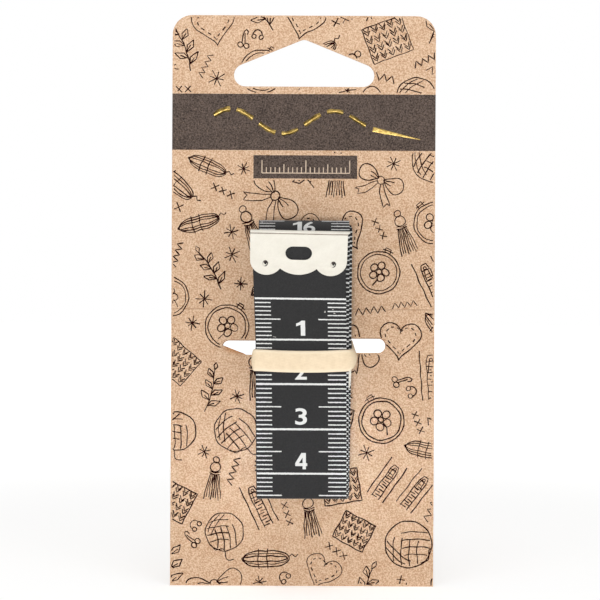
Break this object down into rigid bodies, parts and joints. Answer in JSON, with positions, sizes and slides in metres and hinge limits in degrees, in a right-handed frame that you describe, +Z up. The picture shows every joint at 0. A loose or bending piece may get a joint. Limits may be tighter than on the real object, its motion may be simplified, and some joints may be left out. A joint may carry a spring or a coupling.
{
  "type": "cloth tape measure",
  "caption": "Black cloth tape measure folded into a hank with metal end tips, held by a cream elastic band on a kraft hanging card.",
  "frame": {"origin": "top of the card's hang hole, in the middle of the card's thickness", "axes": "+X across the tape to the right as seen from the front, +Y from front to back, +Z up the card"},
  "size_m": [0.06, 0.0271, 0.13],
  "materials": {
    "card": "uncoated kraft board with dark print",
    "band": "matte cream elastic",
    "tape": "coated cloth, matte black with white print",
    "tip": "satin ivory plating"
  },
  "bodies": {
    "card": {"backing_card": "card", "elastic_band": "band"},
    "hank": {"tape_hank": "tape", "inner_end_tip": "tip"},
    "free_end": {"tape_free_end": "tape", "free_end_tip": "tip"}
  },
  "joints": [
    {"name": "hank_slide", "type": "slide", "parent": "card", "child": "hank", "axis": [0, 0, 1], "range_m": [0, 0.112]},
    {"name": "free_end_lift", "type": "hinge", "parent": "hank", "child": "free_end", "pos_m": [0, -0.01381, -0.0682], "axis": [1, 0, 0], "range_deg": [-20, 110], "stiffness_Nm_per_rad": 0.009}
  ]
}
